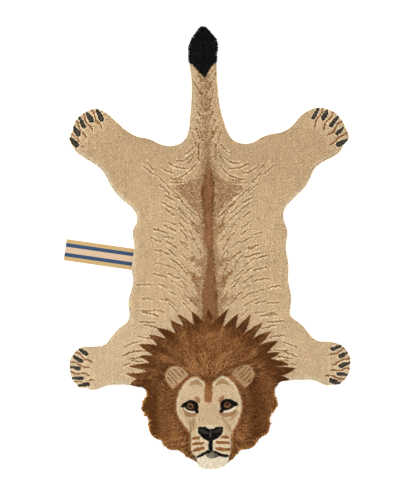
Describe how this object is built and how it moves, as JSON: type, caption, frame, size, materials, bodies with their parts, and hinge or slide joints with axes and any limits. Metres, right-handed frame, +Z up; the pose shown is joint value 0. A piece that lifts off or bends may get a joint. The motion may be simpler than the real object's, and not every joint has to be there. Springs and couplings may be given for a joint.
{
  "type": "lion shaped kids rug",
  "caption": "Hand-tufted wool floor rug in the outline of a lion's pelt, with short pile on the body, long shaggy mane and tail tuft, and a woven label sewn under one side.",
  "frame": {"origin": "on the flat underside, on the spine line, halfway between the tail tip and the chin", "axes": "+X to the viewer's right across the pelt as seen from above, +Y from the head to the tail, +Z up out of the pile"},
  "size_m": [0.9725, 1.5049, 0.029],
  "materials": {
    "wool_pile": "matte cut wool pile, tan on the body, brown in the mane, black in the tail tuft",
    "label_cloth": "matte woven ribbon in navy, mustard and blush bands"
  },
  "bodies": {
    "root": {"rug": "wool_pile", "label": "label_cloth"}
  },
  "joints": []
}
